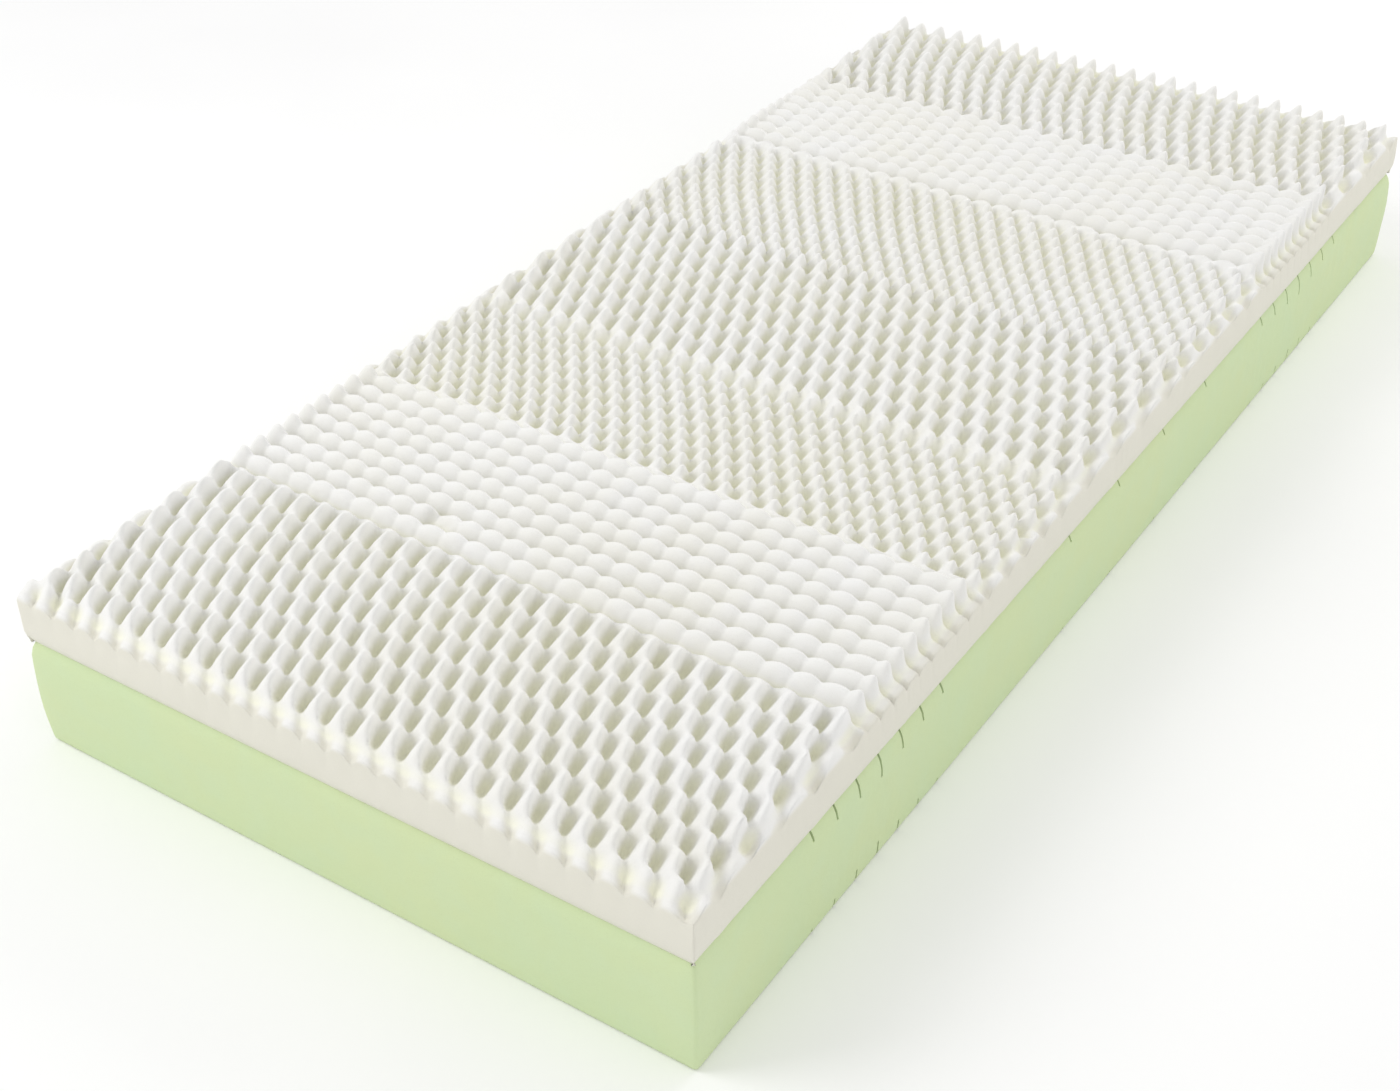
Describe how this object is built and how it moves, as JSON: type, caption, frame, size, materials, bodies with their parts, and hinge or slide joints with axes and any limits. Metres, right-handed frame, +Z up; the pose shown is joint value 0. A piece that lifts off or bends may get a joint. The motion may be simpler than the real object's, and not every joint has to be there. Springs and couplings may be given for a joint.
{
  "type": "memory foam mattress core",
  "caption": "Uncovered single mattress: a slit pale green foam support core with a white memory foam sheet, cut into zones of pegs and ribs, bonded on top.",
  "frame": {"origin": "centre of the underside, on the surface that the mattress lies on", "axes": "+X across the width, +Y along the length, +Z up from the underside to the peg tips"},
  "size_m": [0.9, 2, 0.2405],
  "materials": {
    "green_foam": "open-cell polyurethane support foam, matt",
    "dried_glue": "dried water-based contact adhesive, satin",
    "white_foam": "open-cell memory foam, matt"
  },
  "bodies": {
    "root": {"support_core": "green_foam", "adhesive_film": "dried_glue", "comfort_layer": "white_foam"}
  },
  "joints": []
}
